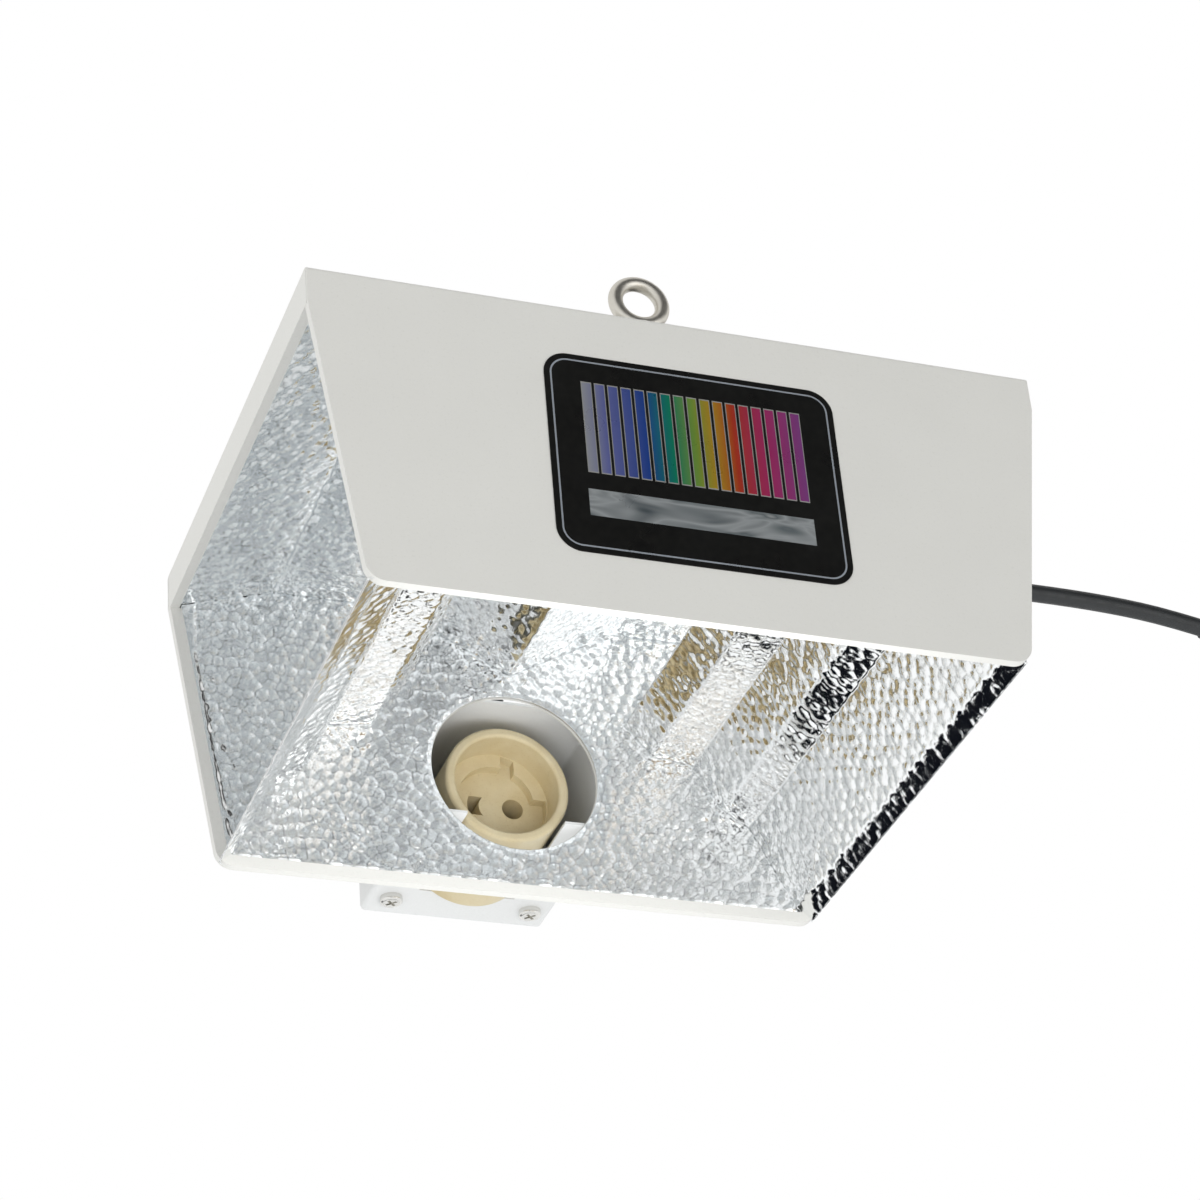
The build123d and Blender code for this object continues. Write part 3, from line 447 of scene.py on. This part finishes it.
def sheet_solid(name, P, Nrm, disp, t, mat, valley, body="hood", flat_back=False):
    """A closed thin sheet: grid P (a, b, 3) in mm, moved by disp along Nrm, with its other face t behind."""
    A, B = P.shape[:2]
    f = P + Nrm * disp[..., None]
    g = f - Nrm * t
    verts = np.concatenate([f.reshape(-1, 3), g.reshape(-1, 3)]) * MM
    idx = np.arange(A * B).reshape(A, B)
    q = np.stack([idx[:-1, :-1], idx[1:, :-1], idx[1:, 1:], idx[:-1, 1:]], -1).reshape(-1, 4)
    off = A * B
    back = q[:, ::-1] + off
    rims = []
    for line, flip in ((idx[:, 0], True), (idx[:, -1], False), (idx[0, :], False), (idx[-1, :], True)):
        a, b = line[:-1], line[1:]
        r = np.stack([a, b, b + off, a + off], -1)
        rims.append(r if not flip else r[:, ::-1])
    faces = np.concatenate([q, back] + rims)
    if flat_back:
        ring = np.concatenate([idx[:-1, 0], idx[-1, :-1], idx[:0:-1, -1], idx[0, :0:-1]])
        edge_pts = (P - Nrm * t).reshape(-1, 3)[ring] * MM
        n_f = A * B
        verts = np.concatenate([f.reshape(-1, 3) * MM, edge_pts])
        k_ = np.arange(len(ring))
        nxt = (k_ + 1) % len(ring)
        side = np.stack([ring, ring[nxt], n_f + nxt, n_f + k_], -1)
        me = bpy.data.meshes.new(name)
        me.from_pydata(verts.tolist(), [], q.tolist() + side.tolist() + [[int(n_f + i) for i in k_]])
        for poly in me.polygons:
            poly.use_smooth = True
        me.polygons[len(me.polygons) - 1].use_smooth = False
        at = me.attributes.new("valley", "FLOAT", "POINT")
        at.data.foreach_set("value", np.concatenate([valley.ravel(), np.zeros(len(ring))]).astype(np.float32))
        bm = bmesh.new()
        bm.from_mesh(me)
        bmesh.ops.recalc_face_normals(bm, faces=bm.faces)
        bm.to_mesh(me)
        bm.free()
        o = bpy.data.objects.new(name, me)
        scene.collection.objects.link(o)
        me.materials.append(mat)
        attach(o, body)
        return o
    me = bpy.data.meshes.new(name)
    me.vertices.add(len(verts))
    me.vertices.foreach_set("co", verts.astype(np.float32).ravel())
    me.loops.add(faces.size)
    me.loops.foreach_set("vertex_index", faces.astype(np.int32).ravel())
    me.polygons.add(len(faces))
    me.polygons.foreach_set("loop_start", np.arange(0, faces.size, 4, dtype=np.int32))
    me.polygons.foreach_set("use_smooth", [True] * len(faces))
    me.update(calc_edges=True)
    me.validate()
    at = me.attributes.new("valley", "FLOAT", "POINT")
    at.data.foreach_set("value", np.concatenate([valley.ravel(), valley.ravel()]).astype(np.float32))
    bm = bmesh.new()
    bm.from_mesh(me)
    bmesh.ops.recalc_face_normals(bm, faces=bm.faces)
    bm.to_mesh(me)
    bm.free()
    o = bpy.data.objects.new(name, me)
    scene.collection.objects.link(o)
    me.materials.append(mat)
    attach(o, body)
    return o


def folded_sheet(name, profile, y0, y1, t, seed, mat, flip, step=0.8, pitch=5.3, amp=0.5):
    """A sheet folded along Y: profile points (x, z) in mm; bumps stand out of the face that flip selects."""
    xs, zs_, ss, ks, nx, nz = [], [], [], [], [], []
    s0 = 0.0
    for i in range(len(profile) - 1):
        (xa, za), (xb, zb) = profile[i], profile[i + 1]
        ln = math.hypot(xb - xa, zb - za)
        n = max(3, int(math.ceil(ln / step)))
        for k in range(n + (1 if i == len(profile) - 2 else 0)):
            t_ = k / n
            xs.append(xa + (xb - xa) * t_)
            zs_.append(za + (zb - za) * t_)
            ss.append(s0 + ln * t_)
            near = min(t_ * ln if i > 0 else 9, (1 - t_) * ln if i < len(profile) - 2 else 9)
            ks.append(min(1.0, 0.2 + near / 0.9) * (0.35 if ln < 12 else 0.68 if ln < 16 else 1.0))
            nx.append(-(zb - za) / ln)
            nz.append((xb - xa) / ln)
        s0 += ln
    xs, zs_, ss, ks, nx, nz = map(np.array, (xs, zs_, ss, ks, nx, nz))
    ys = np.linspace(y0, y1, int(abs(y1 - y0) / step) + 1)
    A, B = len(xs), len(ys)
    # normals averaged at the folds
    acc = np.stack([nx, nz], 1)
    prev = np.roll(acc, 1, 0)
    prev[0] = acc[0]
    fold = np.abs(acc - prev).sum(1) > 1e-6
    acc[fold] = acc[fold] + prev[fold]
    acc /= np.linalg.norm(acc, axis=1)[:, None]
    sgn = -1.0 if flip else 1.0
    P = np.zeros((A, B, 3))
    P[..., 0] = xs[:, None]
    P[..., 2] = zs_[:, None]
    P[..., 1] = ys[None, :]
    Nr = np.zeros((A, B, 3))
    Nr[..., 0] = sgn * acc[:, 0][:, None]
    Nr[..., 2] = sgn * acc[:, 1][:, None]
    U, V = np.meshgrid(ss, ys, indexing="ij")
    d, valley = pebbles(U, V, seed, pitch, amp)
    d = d * ks[:, None]
    valley = valley * ks[:, None]
    edge = np.minimum(np.abs(V - y0), np.abs(V - y1))
    d *= np.clip(edge / 0.9, 0.2, 1.0)
    return sheet_solid(name, P, Nr, d, t, mat, valley)


WING = [(19.6, 136.6), (25.5, 131.3), (44.3, 93.3), (55.9, 86.1), (67.6, 65.1), (86.6, 62.8), (98.1, 48.2)]
CEIL = [(1.5, 15.2), (45.0, 2.4), (100.0, 2.4), (150.0, 30.0)]
INNER = 107.6
ceil_pts = [(-(HX - d), h(-z)) for d, z in CEIL] + [((HX - d), h(-z)) for d, z in CEIL[-2::-1]]
# the bumps stand down, towards the lamp
ceiling = folded_sheet("ceiling_reflector", ceil_pts, -INNER, INNER, 0.5, 11, alu_cool, True, step=1.2, amp=0.56)
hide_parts("ceiling_liner")
left = folded_sheet("left_wing", [(-(HX - d), h(-z)) for d, z in WING], -107.5, 107.5, 0.5, 21, alu_bright, True, amp=0.56)
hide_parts("left_wing_reflector")
right_w = folded_sheet("right_wing", [((HX - d), h(-z)) for d, z in WING][::-1], -107.5, 107.5, 0.5, 31, alu_bright, True, amp=0.56)
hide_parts("right_wing_reflector")


def panel_sheet(name, side, seed, hole):
    """Front or back liner: rows run from edge to edge, so the slanted sides are clean."""
    zs2 = np.linspace(LOW + 1.4, h(-1.6), 188)
    half = np.where(zs2 > h(-16.0), HX - 5.0, HX - 19.0 * (h(-16.0) - zs2) / 122.0 - 1.6)
    half = np.minimum(half, HX - 5.0)
    cols = 404
    tt = np.linspace(-1, 1, cols)
    P = np.zeros((cols, len(zs2), 3))
    P[..., 0] = tt[:, None] * half[None, :]
    P[..., 2] = zs2[None, :]
    # both bumps faces look into the hood
    P[..., 1] = side * (HY - 1.0 - 0.75)
    Nr = np.zeros_like(P)
    Nr[..., 1] = -side
    d, valley = pebbles(P[..., 0].copy(), P[..., 2].copy(), seed, 5.3, 0.56)
    d = d + 0.35
    # the sheet lies flat in the hem along its sides and foot
    inset = np.minimum(half[None, :] - np.abs(P[..., 0]), (P[..., 2] - LOW))
    k = np.clip((inset - 5.2) / 1.5, 0.25, 1.0)
    d = d * k
    valley = valley * k
    if hole:
        rr = np.hypot(P[..., 0], P[..., 2] - AXIS_Z)
        d *= np.clip((rr - 37.0) / 2.5, 0.15, 1.0)
    o = sheet_solid(name, P, Nr, d, 0.25, alu_bright, valley, flat_back=True)
    if hole:
        bpy.ops.mesh.primitive_cylinder_add(vertices=160, radius=0.0373, depth=0.02, location=(0, side * HY * MM, AXIS_Z * MM), rotation=(math.pi / 2, 0, 0))
        cut = bpy.context.active_object
        mod = o.modifiers.new("hole", "BOOLEAN")
        mod.operation = "DIFFERENCE"
        mod.solver = "EXACT"
        mod.object = cut
        deps = bpy.context.evaluated_depsgraph_get()
        new = bpy.data.meshes.new_from_object(o.evaluated_get(deps))
        o.modifiers.clear()
        o.data = new
        bpy.data.objects.remove(cut)
    return o


back = panel_sheet("back_reflector", 1, 41, True)
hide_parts("back_liner")
front = panel_sheet("front_reflector", -1, 51, False)
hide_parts("front_liner")

# ------------------------------------------------------------------ stage, world and lights
bpy.ops.mesh.primitive_plane_add(size=14.0, location=(0, 0, -1.6))
floor = bpy.context.active_object
floor.name = "floor"
fm = Mat("floor_pale")
fm.color(fm.ramp(fm.noise(1.2, 3.0), [(0.3, (0.86, 0.86, 0.85)), (0.7, (0.90, 0.90, 0.89))]))
fm.b.inputs["Roughness"].default_value = 0.7
floor.data.materials.append(fm.m)
floor.visible_glossy = False
floor.visible_diffuse = False

# the studio seen by direction from the part: pale below, dimmer above, with dark and warm cards standing in it
world = bpy.data.worlds.new("studio")
scene.world = world
world.use_nodes = True
wt = world.node_tree
wt.nodes.clear()


def wn(kind, **props):
    n = wt.nodes.new(kind)
    for k, v in props.items():
        setattr(n, k, v)
    return n


def wmath(op, a, b=None):
    n = wn("ShaderNodeMath", operation=op)
    for i, v in enumerate((a, b)):
        if v is None:
            continue
        if isinstance(v, (int, float)):
            n.inputs[i].default_value = v
        else:
            wt.links.new(v, n.inputs[i])
    return n.outputs[0]


direction = wn("ShaderNodeTexCoord").outputs["Generated"]


def along(vec):
    n = wn("ShaderNodeVectorMath", operation="DOT_PRODUCT")
    wt.links.new(direction, n.inputs[0])
    n.inputs[1].default_value = tuple(vec)
    return n.outputs["Value"]


def smooth_step(v, lo, hi, a=0.0, b=1.0):
    n = wn("ShaderNodeMapRange", interpolation_type="SMOOTHSTEP")
    n.inputs["From Min"].default_value = lo
    n.inputs["From Max"].default_value = hi
    n.inputs["To Min"].default_value = a
    n.inputs["To Max"].default_value = b
    wt.links.new(v, n.inputs["Value"])
    return n.outputs["Result"]


def wmix(fac, a, b):
    n = wn("ShaderNodeMix", data_type="RGBA")
    wt.links.new(fac, n.inputs[0])
    for i, v in ((6, a), (7, b)):
        if isinstance(v, tuple):
            n.inputs[i].default_value = (*v, 1.0)
        else:
            wt.links.new(v, n.inputs[i])
    return n.outputs[2]


def studio_card(col, az, el, half_w, half_h, shade, soft=0.3):
    """A card in the direction az (from +Y towards +X) and el, in degrees, with its half width and height."""
    a_, e_ = math.radians(az), math.radians(el)
    c = Vector((math.sin(a_) * math.cos(e_), math.cos(a_) * math.cos(e_), math.sin(e_)))
    side = Vector((math.cos(a_), -math.sin(a_), 0.0))
    up = side.cross(c)
    x = wmath("DIVIDE", along(side), math.sin(math.radians(half_w)))
    y = wmath("DIVIDE", along(up), math.sin(math.radians(half_h)))
    # a rounded rectangle: fourth powers
    r = wmath("ADD", wmath("POWER", wmath("ABSOLUTE", x), 4.0), wmath("POWER", wmath("ABSOLUTE", y), 4.0))
    inside = smooth_step(r, 1.0 - soft, 1.0 + soft, 1.0, 0.0)
    front = wmath("GREATER_THAN", along(c), 0.2)
    return wmix(wmath("MULTIPLY", inside, front), col, shade)


height = along((0, 0, 1))
col = wmix(smooth_step(height, -0.30, 0.25), (1.06, 1.07, 1.07), (0.84, 0.84, 0.83))
for az, el, w_, h_, shade, soft in (
    (158, 36, 42, 26, (0.05, 0.05, 0.05), 0.6),
    (158, -26, 26, 9, (1.75, 1.75, 1.73), 0.5),
    (164, -41, 15, 5.5, (0.40, 0.27, 0.10), 0.3),
    (200, -40, 9, 7.0, (0.015, 0.016, 0.018), 0.25),
    (143, -6, 13, 16, (1.75, 1.75, 1.73), 0.5),
    (-26, -32, 14, 10, (0.006, 0.007, 0.010), 0.2),
    (15, -39, 8, 7.5, (0.01, 0.012, 0.014), 0.2),
    (0, -35, 4.0, 6.0, (0.02, 0.02, 0.02), 0.3),
    (180, -38, 2.5, 3.5, (0.02, 0.02, 0.02), 0.3),
):
    col = studio_card(col, az, el, w_, h_, shade, soft)
seen = wn("ShaderNodeLightPath").outputs["Is Camera Ray"]
col = wmix(seen, col, (1.0, 1.0, 1.0))
bg = wn("ShaderNodeBackground")
bg.inputs["Strength"].default_value = 1.0
wt.links.new(col, bg.inputs["Color"])
wt.links.new(bg.outputs[0], wn("ShaderNodeOutputWorld").inputs["Surface"])


def area(name, loc, target, size, power, color=(1, 1, 1)):
    l = bpy.data.lights.new(name, "AREA")
    l.shape = "SQUARE"
    l.size = size
    l.energy = power
    l.color = color
    o = bpy.data.objects.new(name, l)
    o.location = loc
    o.rotation_euler = (Vector(target) - Vector(loc)).to_track_quat("-Z", "Y").to_euler()
    o.visible_glossy = False
    scene.collection.objects.link(o)
    return o


area("soft_below", (-0.9, -1.5, -0.7), (0.0, 0.0, -0.1), 1.2, 4.2)
area("into_the_box", (-0.02, -0.07, -0.31), (0.0, 0.16, -0.10), 0.12, 0.3)
scene.cycles.max_bounces = 12
scene.cycles.glossy_bounces = 10

scene.view_settings.view_transform = "Standard"
scene.view_settings.look = "None"
scene.view_settings.exposure = 0.0
scene.view_settings.gamma = 1.0
